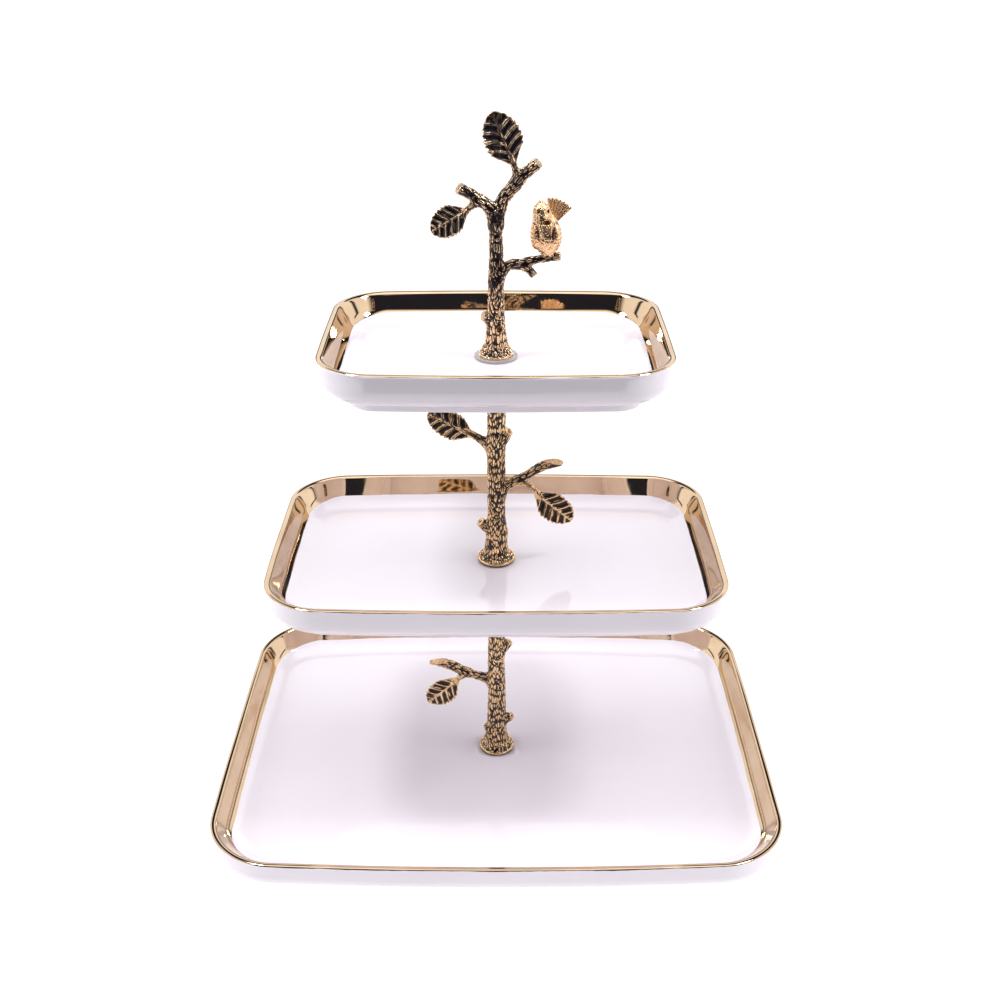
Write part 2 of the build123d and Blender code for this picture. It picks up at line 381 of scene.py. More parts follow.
class Casting:
    """A trunk with twigs and leaves grown into one smooth-cornered solid. holes are (low, high,
    radius), ring_knots (centre, radius), and sooty (clean height, dark height, amount) is the
    darkening of the upper part."""

    def __init__(self, trunk, limbs, leaves, holes, ring_knots=(), sooty=None):
        self.trunk, self.limbs, self.leaves = trunk, limbs, leaves
        self.holes, self.ring_knots, self.sooty = holes, ring_knots, sooty

    def field(self, p):
        d = self.trunk.field(p)
        d = np.maximum(d, p[:, 2] - self.trunk.high)
        for part in self.limbs + self.leaves:
            close = part.near(p)
            d[close] = blend_union(d[close], part.field(p[close]), part.fillet)
        for centre, radius in self.ring_knots:
            off = length((p - centre) * np.array([1, 0.6, 0.75]))
            d = blend_union(d, np.hypot(off - radius, 0.9 * (p[:, 1] - centre[1])) - 0.9, 0.8)
            d = blend_cut(d, radius * 0.75 - off, 0.5)
        d = blend_cut(d, self.trunk.low - p[:, 2], 0.3)
        for low, high, radius in self.holes:
            bore = [np.hypot(p[:, 0], p[:, 1]) - radius, low - p[:, 2], p[:, 2] - high]
            d = np.maximum(d, -np.maximum.reduce(bore))
        return d

    def relief(self, p):
        """Relief of whichever part each point belongs to, mixed where parts run together."""
        parts = [self.trunk] + self.limbs + self.leaves
        away = np.full((len(parts), len(p)), 50.0)
        height = np.ones((len(parts), len(p)))
        for i, part in enumerate(parts):
            close = part.near(p) if i else np.ones(len(p), bool)
            away[i, close] = part.field(p[close])
        away[0] = np.maximum(away[0], p[:, 2] - self.trunk.high)
        share = np.exp(-(away - away.min(axis=0)) / 0.6)
        share[share < 0.03] = 0
        for i, part in enumerate(parts):
            used = share[i] > 0
            height[i, used] = part.relief(p[used])
        height = (share * height).sum(axis=0) / share.sum(axis=0)
        if self.sooty:
            clean, sooted, amount = self.sooty
            height = height ** (1 + amount * smooth_step(clean, sooted, p[:, 2]))
        return height


def gradient(field, p, step=0.05):
    out = np.empty_like(p)
    for axis in range(3):
        shift = np.zeros(3)
        shift[axis] = step
        out[:, axis] = (field(p + shift) - field(p - shift)) / (2 * step)
    return out


BLOCK = 6  # samples along each side of a block
BLOCK_REACH = 1.45  # how near the surface a block's middle is, in block sides, for it to be used
BATCH = 2000  # blocks worked out together


def sample_near_surface(field, low, high, cell):
    """The field on a grid of points, worked out in full only in blocks that the surface passes."""
    blocks = np.ceil((high - low) / (cell * BLOCK)).astype(int)
    place = np.indices(tuple(blocks)).reshape(3, -1).T
    middle = field(low + (place + 0.5) * BLOCK * cell - 0.5 * cell)
    values = middle.reshape(tuple(blocks)).astype(np.float32)
    for axis in range(3):
        values = np.repeat(values, BLOCK, axis)
    hot = place[np.abs(middle) < BLOCK * cell * BLOCK_REACH]
    inner = np.indices((BLOCK,) * 3).reshape(3, -1).T
    for start in range(0, len(hot), BATCH):
        index = (hot[start:start + BATCH, None, :] * BLOCK + inner[None]).reshape(-1, 3)
        values[index[:, 0], index[:, 1], index[:, 2]] = field(low + index * cell)
    return values


def surface_net(values, low, cell):
    """Quads on the zero surface of a grid of values: one point in each cell that it crosses."""
    inside = values < 0
    count = np.zeros(tuple(n - 1 for n in values.shape), np.uint8)
    for i, j, k in np.ndindex(2, 2, 2):
        nx, ny, nz = count.shape
        count += inside[i:i + nx, j:j + ny, k:k + nz]
    active = (count > 0) & (count < 8)
    cells = np.argwhere(active)
    number = np.full(count.shape, -1, np.int64)
    number[active] = np.arange(len(cells))
    total = np.zeros((len(cells), 3))
    crossings = np.zeros(len(cells))
    quads = []
    for axis in range(3):
        b, c = (axis + 1) % 3, (axis + 2) % 3
        step = np.eye(3, dtype=int)
        for i, j in np.ndindex(2, 2):
            near = cells + i * step[b] + j * step[c]
            far = near + step[axis]
            v0, v1 = values[tuple(near.T)], values[tuple(far.T)]
            crossed = (v0 < 0) != (v1 < 0)
            t = v0[crossed] / (v0[crossed] - v1[crossed])
            total[crossed] += near[crossed] + t[:, None] * step[axis]
            crossings[crossed] += 1
        lower = np.take(inside, np.arange(values.shape[axis] - 1), axis)
        upper = np.take(inside, np.arange(1, values.shape[axis]), axis)
        edges = np.argwhere(lower != upper)
        edges = edges[(edges[:, b] > 0) & (edges[:, c] > 0)]
        edges = edges[(edges[:, b] < count.shape[b]) & (edges[:, c] < count.shape[c])]
        loop = [edges - step[b] - step[c], edges - step[c], edges, edges - step[b]]
        quad = np.stack([number[tuple(corner.T)] for corner in loop], axis=1)
        leaving = inside[tuple(edges.T)]
        quads.append(np.where(leaving[:, None], quad, quad[:, ::-1]))
    return low + total / crossings[:, None] * cell, np.concatenate(quads)


def solid_mesh(field, low, high, cell):
    """Points, outward unit normals and quads of the surface where field is zero."""
    low, high = np.array(low, float) - 2 * cell, np.array(high, float) + 2 * cell
    points, quads = surface_net(sample_near_surface(field, low, high, cell), low, cell)
    for _ in range(2):
        slope = gradient(field, points)
        move = (field(points) / (slope * slope).sum(axis=1).clip(0.05))[:, None] * slope
        points -= np.clip(move, -0.6 * cell, 0.6 * cell)
    slope = gradient(field, points)
    return points, slope / length(slope)[:, None].clip(1e-6), quads


# ---- materials ----
class Nodes:
    """Short-hand for building the node tree of a material or world."""

    def __init__(self, owner):
        self.owner = owner
        owner.use_nodes = True
        self.tree = owner.node_tree
        self.shader = self.tree.nodes.get("Principled BSDF")

    def add(self, kind, **settings):
        node = self.tree.nodes.new("ShaderNode" + kind)
        for key, value in settings.items():
            setattr(node, key, value)
        return node

    def link(self, source, target):
        self.tree.links.new(source, target)

    def set(self, **values):
        for label, value in values.items():
            self.shader.inputs[label.replace("_", " ")].default_value = value

    def position(self, scale=(1, 1, 1)):
        coordinates = self.add("TexCoord")
        mapping = self.add("Mapping")
        mapping.inputs["Scale"].default_value = scale
        self.link(coordinates.outputs["Object"], mapping.inputs["Vector"])
        return mapping.outputs["Vector"]

    def noise(self, scale, detail, vector=None):
        node = self.add("TexNoise")
        node.inputs["Scale"].default_value = scale
        node.inputs["Detail"].default_value = detail
        self.link(vector or self.position(), node.inputs["Vector"])
        return node.outputs["Fac"]

    def speckled(self, label, amount, scale, detail):
        """A mesh attribute with noise added, up to half the amount either way."""
        attribute = self.add("Attribute", attribute_name=label).outputs["Fac"]
        grain = self.math("SUBTRACT", self.noise(scale, detail), 0.5)
        return self.math("ADD", attribute, self.math("MULTIPLY", grain, amount))

    def math(self, operation, a, b=None):
        node = self.add("Math", operation=operation)
        for socket, value in zip(node.inputs, (a, b)):
            if isinstance(value, (int, float)):
                socket.default_value = value
            elif value is not None:
                self.link(value, socket)
        return node.outputs[0]

    def remap(self, value, low, high, new_low, new_high):
        node = self.add("MapRange", interpolation_type="SMOOTHSTEP")
        ends = {"From Min": low, "From Max": high, "To Min": new_low, "To Max": new_high}
        for label, number in ends.items():
            node.inputs[label].default_value = number
        self.link(value, node.inputs["Value"])
        return node.outputs["Result"]

    def tint(self, scale, detail, low_colour, high_colour):
        """A colour that wanders between two, with noise of that scale and detail."""
        node = self.add("ValToRGB")
        stops = zip(node.color_ramp.elements, (0.3, 0.7), (low_colour, high_colour))
        for element, place, colour in stops:
            element.position = place
            element.color = (*colour, 1)
        self.link(self.noise(scale, detail), node.inputs["Fac"])
        return node.outputs["Color"]

    def roughness(self, scale, detail, low, high):
        level = self.remap(self.noise(scale, detail), 0.3, 0.7, low, high)
        self.link(level, self.shader.inputs["Roughness"])

    def mix(self, factor, a, b):
        """Colour a where factor is 0 and b where it is 1."""
        node = self.add("Mix", data_type="RGBA")
        self.link(factor, node.inputs[0])
        for socket, value in ((node.inputs[6], a), (node.inputs[7], b)):
            if isinstance(value, tuple):
                socket.default_value = (*value, 1)
            else:
                self.link(value, socket)
        return node.outputs[2]

    def bump(self, height, strength, distance):
        node = self.add("Bump")
        node.inputs["Strength"].default_value = strength
        node.inputs["Distance"].default_value = distance
        self.link(height, node.inputs["Height"])
        self.link(node.outputs["Normal"], self.shader.inputs["Normal"])


def porcelain():
    """White glaze with a faint lilac cast, and gold lustre where the gilt attribute is above 0."""
    m = Nodes(bpy.data.materials.new("glazed_porcelain"))
    m.set(IOR=1.65)
    gilt = m.remap(m.speckled("gilt", 0.5, 160, 2), -0.04, 0.04, 0, 1)
    cloud = m.tint(14, 3, (0.845, 0.79, 0.85), (0.875, 0.825, 0.885))
    lustre = m.tint(55, 4, (0.60, 0.43, 0.28), (0.68, 0.51, 0.345))
    m.link(m.mix(gilt, cloud, lustre), m.shader.inputs["Base Color"])
    m.link(gilt, m.shader.inputs["Metallic"])
    m.roughness(320, 4, 0.025, 0.055)
    m.bump(m.noise(38, 2), 0.08, 0.0005)
    return m.owner


def antique_gold(name, ridge_low, ridge_high, patina, clear):
    """Gold plate, dark where the relief attribute is under about clear, rubbed bright above."""
    m = Nodes(bpy.data.materials.new(name))
    bare = m.remap(m.speckled("relief", 0.35, 900, 3), clear - 0.22, clear + 0.18, 0, 1)
    gold = m.tint(420, 4, ridge_low, ridge_high)
    m.link(m.mix(bare, patina, gold), m.shader.inputs["Base Color"])
    m.link(m.remap(bare, 0, 1, 0.3, 1.0), m.shader.inputs["Metallic"])
    m.link(m.remap(bare, 0, 1, 0.30, 0.22), m.shader.inputs["Roughness"])
    m.bump(m.noise(2600, 3), 0.25, 0.0001)
    return m.owner


def bright_gold():
    """Yellow gold plate, brown in the creases and in painted shade, where the relief attribute is
    low.
    """
    m = Nodes(bpy.data.materials.new("bright_gold"))
    bare = m.remap(m.speckled("relief", 0.3, 700, 3), 0.05, 0.6, 0, 1)
    gold = m.tint(260, 3, (0.94, 0.56, 0.30), (0.99, 0.71, 0.43))
    # The brown also paints the shade under the beak and round the wings.
    m.link(m.mix(bare, (0.20, 0.075, 0.04), gold), m.shader.inputs["Base Color"])
    m.set(Metallic=1.0)
    m.roughness(1400, 3, 0.20, 0.31)
    m.bump(m.noise(1100, 4), 0.5, 0.0003)
    return m.owner


def plain_finish(name, tint, roughness, grain, stretch=(1, 1, 1), **values):
    """A finish that varies a little: tint is (scale, detail, two colours), roughness (scale, detail,
    low, high) and grain (scale, detail, strength, depth)."""
    m = Nodes(bpy.data.materials.new(name))
    m.link(m.tint(*tint), m.shader.inputs["Base Color"])
    m.set(**values)
    m.roughness(*roughness)
    scale, detail, strength, depth = grain
    m.bump(m.noise(scale, detail, m.position(stretch)), strength, depth)
    return m.owner


PORCELAIN = porcelain()
POST_GOLD = antique_gold("antique_gold", (0.70, 0.43, 0.20), (0.92, 0.67, 0.40),
                         patina=(0.018, 0.011, 0.012), clear=0.48)
FINIAL_GOLD = antique_gold("antique_bronze", (0.70, 0.43, 0.24), (0.93, 0.70, 0.47),
                           patina=(0.014, 0.008, 0.012), clear=0.50)
BIRD_GOLD = bright_gold()
STEEL = plain_finish("zinc_plated_steel", (240, 5, (0.50, 0.51, 0.52), (0.66, 0.66, 0.64)),
                     (900, 4, 0.22, 0.4), (1500, 4, 0.2, 0.00008), stretch=(1, 1, 6), Metallic=1.0)
RUBBER = plain_finish("black_rubber", (400, 5, (0.018, 0.018, 0.019), (0.045, 0.044, 0.043)),
                      (900, 4, 0.55, 0.75), (2200, 4, 0.3, 0.0001))
VINYL = plain_finish("clear_vinyl", (120, 3, (0.93, 0.89, 0.87), (0.97, 0.94, 0.93)),
                     (700, 4, 0.12, 0.25), (500, 3, 0.2, 0.0002), Transmission_Weight=0.85, IOR=1.45)


# ---- trays ----
TRAYS = (("bottom", 42.0, "base"), ("middle", 34.5, "middle_tray_body"),
         ("top", 31.5, "top_tray_body"))  # corner radius and body
TRAY_MARGIN = 0.1  # how far the skin stays inside the CAD tray's outline
TRAY_HEIGHT = 28.0
TRAY_HOLE = 4.0
HOLE_RINGS = 12  # rings of mesh from the cove to the hole
FOOT_HEIGHT = 6.4
FLOOR_TOP = 11.4
RIM_WIDTH = 3.4
FOOT = (17.0, 21.5)  # inset of its outer and inner edge
BAND_DEPTH = (10.2, 13.0)  # gilding down the inner wall, on the long and short sides
LIP_DEPTH = 0.7  # and down the outer wall
BARE = -9.0  # the gilt attribute far from any gilding
OUTER_LEAN = math.tan(math.radians(4.0))
INNER_LEAN = math.tan(math.radians(33.0))
END_LEAN = math.tan(math.radians(29.0))  # the inner wall stands steeper at the short ends
SIDE_LEAN = math.tan(math.radians(36.5))  # and lies back more along the long sides
BOW = np.array([0.008, 0.045])  # how far corners are drawn in, as a share of the half side
INNER_BOW = 0.026  # and how much further the inner wall's foot is
COVE_RADIUS = 18.0
COVE_RUN = 11.0  # from where wall and floor would meet to the section's end
RIPPLE, RIPPLE_GRAIN = 0.02, np.array([21.0, 21.0, 14.0])  # unevenness of the inner wall's lean
WAVE, WAVE_GRAIN = 0.22, np.array([48.0, 48.0, 60.0])  # unevenness of the wall in plan
SAG, SAG_GRAIN = 0.14, 55.0  # and of its height
BRUSH, BRUSH_GRAIN = 0.35, np.array([17.0, 17.0, 900.0])  # wander of the gilding's edge


def rounded_rectangle(width, depth, radius, corner_steps=22, side_steps=26):
    """Outline points anticlockwise from the right-hand side, with each corner an arc."""
    arcs = []
    for quarter, (sx, sy) in enumerate(((1, 1), (-1, 1), (-1, -1), (1, -1))):
        centre = np.array([sx * (width / 2 - radius), sy * (depth / 2 - radius)])
        angles = math.pi / 2 * (quarter + np.arange(corner_steps + 1) / corner_steps)
        arcs.append(centre + radius * np.stack([np.cos(angles), np.sin(angles)], axis=1))
    outline = []
    for arc, following in zip(arcs, arcs[1:] + arcs[:1]):
        outline.append(arc)
        gap = np.arange(1, side_steps)[:, None] / side_steps
        outline.append(arc[-1] + gap * (following[0] - arc[-1]))
    return np.concatenate(outline)


def tray_section():
    """Inset and height from under the floor, round the foot and the rim, to the floor."""
    heel = OUTER_LEAN * (TRAY_HEIGHT - FOOT_HEIGHT)
    cove = RIM_WIDTH + INNER_LEAN * (TRAY_HEIGHT - FLOOR_TOP)
    floor_edge = cove + COVE_RUN
    return rounded_path([
        (floor_edge + 4, FOOT_HEIGHT, 0),
        (FOOT[1], FOOT_HEIGHT, 1.5),
        (FOOT[1], 0, 1.2),
        (FOOT[0], 0, 1.2),
        (FOOT[0] - 0.4, FOOT_HEIGHT, 1.0),
        (heel, FOOT_HEIGHT, 13.0),
        (0, TRAY_HEIGHT, 1.5),
        (RIM_WIDTH, TRAY_HEIGHT, 2.6),
        (cove, FLOOR_TOP, COVE_RADIUS),
        (floor_edge, FLOOR_TOP, 0),
    ], line_step=1.6)


def rings_to_hole(ring, z):
    """Level rings of points from ring to the post's hole, without ring itself."""
    hole = ring / length(ring)[:, None] * TRAY_HOLE
    height = np.full(len(ring), z)
    steps = np.linspace(0, 1, HOLE_RINGS + 1)[1:]
    return [np.column_stack([ring + (hole - ring) * t, height]) for t in steps]


def tray_wall(outline_size, radius, seed):
    """Rings of points along the section, and the gilt attribute at each ring."""
    width, depth = outline_size
    outline = rounded_rectangle(width, depth, radius)
    half_sides = outline_size / 2
    share = outline / half_sides
    drawn_in = -BOW * half_sides * share * share[:, ::-1] ** 2
    bowed = outline + drawn_in
    facing = np.roll(bowed, -1, axis=0) - np.roll(bowed, 1, axis=0)
    outward = np.stack([facing[:, 1], -facing[:, 0]], axis=1) / length(facing)[:, None]
    lean = END_LEAN + (SIDE_LEAN - END_LEAN) * outward[:, 1] ** 2 - INNER_LEAN
    band = BAND_DEPTH[0] + (BAND_DEPTH[1] - BAND_DEPTH[0]) * outward[:, 0] ** 2

    section = tray_section()
    run = np.concatenate([[0], np.cumsum(np.linalg.norm(np.diff(section, axis=0), axis=1))])
    peak = np.argmax(section[:, 1])
    lip_out = np.interp(TRAY_HEIGHT - LIP_DEPTH, section[:peak + 1, 1], run[:peak + 1])
    lip_in = np.interp(band - TRAY_HEIGHT, -section[peak:, 1], run[peak:])
    rings, gilt = [], []
    for step, ((inset, z), at) in enumerate(zip(section, run)):
        flat = rounded_rectangle(width - 2 * inset, depth - 2 * inset, radius - inset) + drawn_in
        height = np.full(len(flat), z)
        if step >= peak:
            drop = TRAY_HEIGHT - z
            ripple = RIPPLE * noise(np.column_stack([outline, height]) / RIPPLE_GRAIN + seed, 5)
            flat -= outward * ((lean + ripple) * drop)[:, None]
            deep = drop / (TRAY_HEIGHT - FLOOR_TOP)
            flat[:, 1] -= INNER_BOW * half_sides[1] * deep * share[:, 1] * share[:, 0] ** 2
        rings.append(np.column_stack([flat, height]))
        gilt.append(np.minimum(at - lip_out, lip_in - at))
    return rings, gilt


def tray(tier, radius, body):
    """One tray as a closed skin: foot, outer wall, rim, inner wall and a floor round its hole."""
    low, high = box_mm("tray_" + tier)
    foot_z = low[2]
    rings, gilt = tray_wall((high - low)[:2] - 2 * TRAY_MARGIN, radius, foot_z)
    around = len(rings[0])
    below = rings_to_hole(rings[0][:, :2], FOOT_HEIGHT)
    above = rings_to_hole(rings[-1][:, :2], FLOOR_TOP)
    rings = below[::-1] + rings + above + [below[-1]]
    bare = [np.full(around, BARE)]
    gilt = np.concatenate(bare * HOLE_RINGS + gilt + bare * (HOLE_RINGS + 1))
    points = np.concatenate(rings)
    wave = WAVE * (noise(points / WAVE_GRAIN + foot_z, 3) - 1)
    swell = smooth_step(FLOOR_TOP, TRAY_HEIGHT, points[:, 2])
    outwards = points[:, :2] / length(points[:, :2])[:, None].clip(1)
    points[:, :2] += outwards * (wave * swell)[:, None]
    points[:, 2] -= SAG * (1 + noise(points / SAG_GRAIN + 7 + foot_z, 8)) * swell
    gilt += BRUSH * noise(points / BRUSH_GRAIN + foot_z, 21)
    points[:, 2] += foot_z
    make_piece(tier + "_tray", points, ring_faces(len(rings), around), PORCELAIN, body, "porcelain",
               "tray_" + tier, gilt=gilt)


for row in TRAYS:
    tray(*row)

# ---- threads ----
THREAD_PITCH = 1.0
THREAD_DEPTH = 0.55
THREAD_FADE = 0.8  # length over which it dies out at each end
THREAD_CELL = 0.24  # mesh size
TAPPED_DEPTH, TAPPED_RADIUS = 12.0, 3.02
STUD_DEPTH, STUD_RADIUS = 12.0, 2.95
HEAD_RADIUS, HEAD_HEIGHT, HEAD_ROUND = 6.0, 3.0, 1.2
HEAD_SPARE = 0.3  # how far the rounded head would go on above the flat that ends it
SLOT_WIDTH, SLOT_DEPTH = 1.4, 1.3
SHANK_SUNK = 0.5  # how far the rod starts inside the head


def thread_field(p, radius, low, high):
    """A rod with a right-hand helical thread, tapered off at both ends."""
    angle = np.arctan2(p[:, 1], p[:, 0])
    phase = (p[:, 2] / THREAD_PITCH - angle / (2 * math.pi)) % 1
    crest = np.clip(1.25 - 2.5 * np.abs(phase - 0.5), 0, 1)
    lead = np.clip(np.minimum(p[:, 2] - low, high - p[:, 2]) / THREAD_FADE, 0, 1)
    r = radius - THREAD_DEPTH * (1 - crest * lead)
    return np.maximum.reduce([np.hypot(p[:, 0], p[:, 1]) - r, low - p[:, 2], p[:, 2] - high])


def slotted_head(p, low):
    """A pan head standing on z = low, slotted underneath."""
    above = p[:, 2] - low
    half = HEAD_HEIGHT / 2
    out = np.hypot(p[:, 0], p[:, 1]) - (HEAD_RADIUS - HEAD_ROUND)
    up = np.abs(above - half - HEAD_SPARE) - (half + HEAD_SPARE - HEAD_ROUND)
    corner = np.hypot(np.maximum(out, 0), np.maximum(up, 0))
    head = corner + np.minimum(np.maximum(out, up), 0) - HEAD_ROUND
    slot = np.maximum(np.abs(p[:, 1]) - SLOT_WIDTH / 2, above - SLOT_DEPTH)
    return np.maximum.reduce([head, above - HEAD_HEIGHT, -slot])


def threaded_piece(node, body, has_head=False):
    low, high = box_mm(node)
    shank = low[2] + (HEAD_HEIGHT - SHANK_SUNK if has_head else 0)

    def field(p):
        rod = thread_field(p, STUD_RADIUS, shank, high[2])
        return np.minimum(rod, slotted_head(p, low[2])) if has_head else rod

    points, _, quads = solid_mesh(field, low, high, THREAD_CELL)
    make_piece(node + "_threaded", points, quads, STEEL, body, "zinc_steel", node)


# ---- washers and gaskets ----
# node: body, material, slot and rounding of the outer edges
WASHERS = {
    "base_steel_washer": ("base", STEEL, "zinc_steel", 0.25),
    "base_rubber_washer": ("base", RUBBER, "rubber", 0.4),
    "middle_tray_gasket": ("lower_post_body", RUBBER, "rubber", 0.5),
    "top_tray_gasket": ("middle_post_body", RUBBER, "rubber", 0.5),
    "lower_post_washer": ("lower_washer", VINYL, "clear_plastic", 0.5),
    "middle_post_washer": ("middle_washer", VINYL, "clear_plastic", 0.5),
    "finial_washer": ("top_washer", VINYL, "clear_plastic", 0.6),
}
WASHER_BORE = 3.2

for washer_node, (body, material, slot, rounding) in WASHERS.items():
    low, high = box_mm(washer_node)
    section = [(WASHER_BORE, low[2], rounding / 2), (high[0], low[2], rounding),
               (high[0], high[2], rounding), (WASHER_BORE, high[2], rounding / 2)]
    lathe(washer_node + "_ring", section, material, body, slot, washer_node)

# ---- castings ----
CASTING_CELL = 0.355  # mesh size
BARK_DEPTH = 0.5


def post_ends(node, holds_stud=True):
    """Heights of a casting's two ends, and its bores: tapped below, and for a stud above."""
    low, high = (corner[2] for corner in box_mm(node))
    holes = [(low - 1, low + TAPPED_DEPTH, TAPPED_RADIUS)]
    if holds_stud:
        holes.append((high - STUD_DEPTH, high + 1, STUD_RADIUS))
    return low, high, holes


def cast(node, casting, name, body, material):
    """The piece for a casting, its furrows sunk into it except in the bores and under the foot."""
    low, high = box_mm(node)
    points, normals, quads = solid_mesh(casting.field, low, high, CASTING_CELL)
    relief = casting.relief(points)
    in_hole = np.hypot(points[:, 0], points[:, 1]) < TAPPED_RADIUS + 0.2
    flat_end = (np.abs(normals[:, 2]) > 0.9) & (np.abs(points[:, 2] - low[2]) < 0.3)
    depth = np.where(in_hole | flat_end, 0, BARK_DEPTH)
    points -= normals * ((1 - relief) * depth)[:, None]
    make_piece(name, points, quads, material, body, "antique_gold", node, relief=relief)


def knot(*stations, normal):
    """A short stub whose cut face is dished."""
    return Limb(*stations, cut=(stations[-1][:3], normal), dish=1.6, fillet=2.0)


def lower_post():
    low, high, holes = post_ends("lower_post")
    trunk = Trunk(low, high, [(0, 11.3), (1.6, 11.4), (9, 7.6), (20, 6.8), (42, 5.9), (85, 5.7),
                              (125, 6.0), (high - low, 6.7)], seed=1)
    branch = Limb((0, 0, 64, 5.0), (-7, 0, 69, 3.6), (-14.8, -0.4, 71.8, 2.8),
                  (-22.9, -0.8, 75.7, 3.3), (-29.6, -0.8, 79.6, 3.4), (-36.3, -0.4, 81.5, 3.0),
                  (-42.6, 0, 82.2, 2.1),
                  cut=((-36.3, -0.4, 83.3), (-0.22, -0.22, 0.95)))
    stem = Limb((-18.5, -0.6, 74, 2.6), (-24.0, -1.4, 70.6, 2.1), (-29.8, -1.8, 64.8, 1.4), bark=0.6)
    right = knot((0, 0, 31, 4.2), (5.5, -0.5, 35, 3.5), (10.6, -1.0, 37.9, 2.9),
                 normal=(0.86, -0.2, 0.46))
    left = knot((0, 0, 31, 4.2), (-4.6, -0.8, 28.6, 3.4), (-8.2, -1.4, 26.8, 2.6),
                normal=(-0.9, -0.3, -0.3))
    upper = knot((0, 0, 88, 4.2), (4.6, 0, 93.4, 3.4), (8.8, 0, 98.2, 2.7), normal=(0.7, 0, 0.72))
    leaf = Leaf((-26.2, -1.4, 68.4), (-46.4, -1.0, 47.4), 17.8, facing=(0.05, -0.97, 0.22))
    return Casting(trunk, [branch, stem, right, left, upper], [leaf], holes)


def middle_post():
    low, high, holes = post_ends("middle_post")
    trunk = Trunk(low, high, [(0, 11.3), (1.6, 11.4), (7, 7.4), (20, 6.5), (36, 5.4), (54, 5.7),
                              (80, 5.4), (high - low, 6.3)], seed=2)
    twig = Limb((0, 0, 204, 4.6), (5.5, 0, 211.5, 3.4), (12, -0.4, 216.6, 2.8),
                (19, -0.6, 220.6, 2.8), (28, -0.4, 226.4, 3.2), (38.0, 0, 229.0, 2.9),
                cut=((33.0, 0, 230.2), (0.22, -0.25, 0.94)))
    stem = Limb((12, -0.4, 216.6, 2.3), (20, -1.0, 214, 1.9), (27.5, -1.4, 205.2, 1.3), bark=0.6)
    riser = Limb((0, 0, 235, 4.6), (-6.5, -0.4, 242, 3.1), (-14, -0.8, 247.4, 2.3),
                 (-21, -1.0, 250.4, 1.3), bark=0.7)
    left = knot((0, 0, 178, 4.4), (-5.5, -0.6, 184, 3.5), (-10.0, -1.0, 188.6, 2.9),
                normal=(-0.6, -0.2, 0.76))
    right = knot((0, 0, 238, 4.2), (4.6, -0.4, 245, 3.5), (7.9, -0.8, 249.8, 2.9),
                 normal=(0.6, -0.3, 0.74))
    bump = Limb((2, -1, 176, 3.4), (4.4, -1.6, 180, 2.8), (3.4, -1, 186, 2.2))
    hanging = Leaf((24.6, -1.2, 208.4), (47.2, -1.0, 187.4), 18.2, facing=(-0.05, -0.97, 0.22))
    rising = Leaf((-14.6, -0.8, 247.3), (-40.6, -0.6, 260.2), 16.6, facing=(0.1, -0.95, 0.3))
    return Casting(trunk, [twig, stem, riser, left, right, bump], [hanging, rising], holes)


def finial_branch():
    low, _, holes = post_ends("finial_branch", holds_stud=False)
    fork = 380.0
    trunk = Trunk(low, fork, [(0, 9.6), (1.4, 9.7), (8, 6.5), (18, 5.5), (36, 4.6), (60, 4.1),
                              (fork - low, 3.8)], brim=1.2, seed=3)
    left = Limb((0, 0, 373, 4.0), (-3.6, 0, 382.4, 3.6), (-11, -0.4, 388.4, 3.2),
                (-20.4, -0.8, 393.5, 3.1), cut=((-20.2, -0.8, 393.5), (-0.78, -0.3, 0.55)))
    left_stem = Limb((-8, -0.2, 386, 2.5), (-13.0, -0.8, 383.6, 2.1), (-18.6, -1.2, 378.2, 1.4),
                     bark=0.6)
    right = Limb((0, 0, 373, 4.0), (3.8, 0, 386.4, 3.7), (10.4, 0, 394.8, 3.6),
                 (16.4, -0.3, 401.4, 3.3), (23.4, -0.6, 407.2, 3.2),
                 cut=((22.8, -0.6, 406.8), (0.68, -0.25, 0.68)))
    top_stem = Limb((9.8, 0, 394.5, 3.0), (11.0, -0.4, 401, 2.3), (7.6, -0.8, 410.0, 1.6), bark=0.6)
    perch = Limb((0, 0, 341, 4.2), (6, 0, 349.6, 3.0), (15.8, -0.3, 352.2, 2.6),
                 (24.9, -0.3, 354.3, 2.5), (36, 0, 355.5, 2.4),
                 cut=((35.8, 0, 355.5), (0.98, -0.15, 0.1)))
    spur = Limb((10, 0, 351, 2.6), (17, -0.4, 349, 2.4), (21.7, -0.8, 344.5, 2.2),
                cut=((21.6, -0.8, 344.6), (0.6, -0.3, -0.74)))
    side_knot = knot((0, 0, 318, 4.0), (-4.2, -0.5, 320, 3.3), (-7.6, -0.9, 321.5, 2.7),
                     normal=(-0.9, -0.3, 0.3))
    left_leaf = Leaf((-15.8, -1.0, 381.2), (-35.8, -0.8, 369.0), 16.8, facing=(-0.05, -0.96, 0.28))
    top_leaf = Leaf((9.2, -0.8, 406.6), (-2.0, -0.4, 432.4), 20.8, facing=(0.08, -0.98, 0.15))
    scar = (np.array([1.8, -5.0, 315.0]), 1.8)
    return Casting(trunk, [left, left_stem, right, top_stem, perch, spur, side_knot],
                   [left_leaf, top_leaf], holes, ring_knots=[scar], sooty=(318.0, 345.0, 0.5))


threaded_piece("base_screw", "base", has_head=True)
threaded_piece("lower_stud", "lower_post_body")
threaded_piece("middle_stud", "middle_post_body")
cast("lower_post", lower_post(), "lower_post_casting", "lower_post_body", POST_GOLD)
cast("middle_post", middle_post(), "middle_post_casting", "middle_post_body", POST_GOLD)
cast("finial_branch", finial_branch(), "finial_casting", "finial_body", FINIAL_GOLD)

# ---- bird ----
BIRD_CELL = 0.24  # mesh size
PLUMAGE_DEPTH = 0.42


def ellipsoid(p, centre, radii):
    """Distance to an ellipsoid, near enough close to its surface."""
    q = (p - centre) / radii
    near = length(q)
    return near * (near - 1) / length(q / radii).clip(1e-6)


